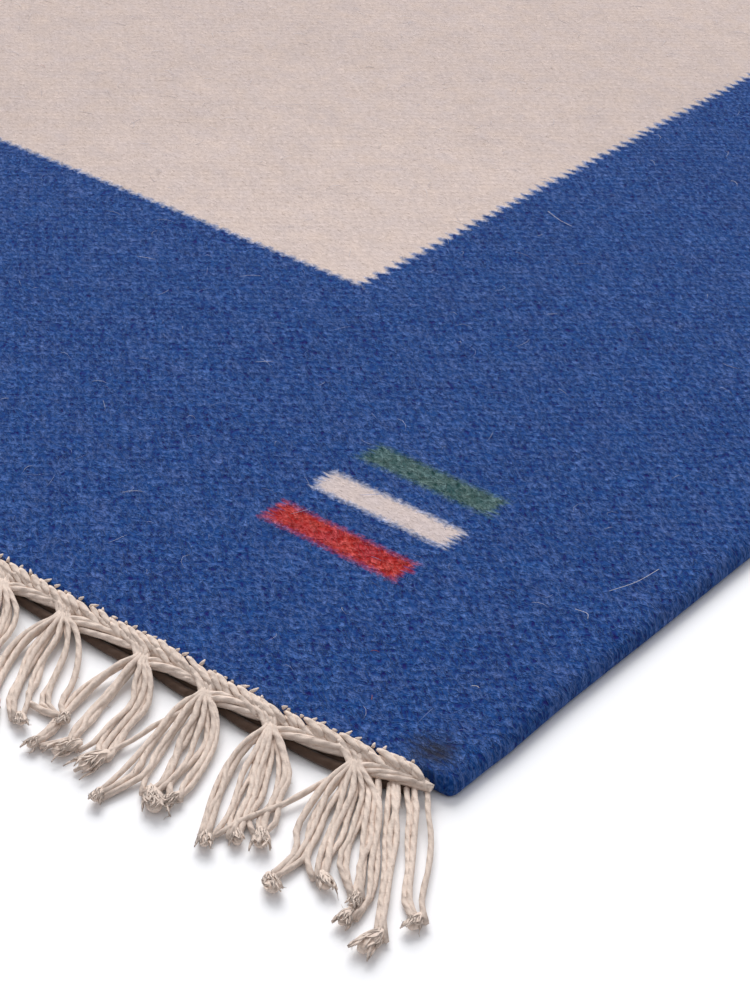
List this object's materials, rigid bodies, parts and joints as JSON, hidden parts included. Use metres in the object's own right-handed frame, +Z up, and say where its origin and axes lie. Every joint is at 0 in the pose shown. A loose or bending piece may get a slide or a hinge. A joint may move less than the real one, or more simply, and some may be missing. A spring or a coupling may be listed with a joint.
{
  "type": "kilim rug",
  "caption": "Flat-woven rectangular floor rug with a plain field, a wide border and short bars in the corners, its warps plaited along both ends and tied off as tassels.",
  "frame": {"origin": "centre of the rug on the floor, under its underside", "axes": "+X across the rug along the weft, +Y along the warps towards the far end, +Z up out of the floor"},
  "size_m": [1.2358, 1.9054, 0.0065],
  "materials": {
    "wool": "matt, slightly fuzzy flat weave",
    "cotton": "matt plied cotton cord"
  },
  "bodies": {
    "root": {"kilim_cloth": "wool", "fringe_near": "cotton", "fringe_far": "cotton"}
  },
  "joints": []
}
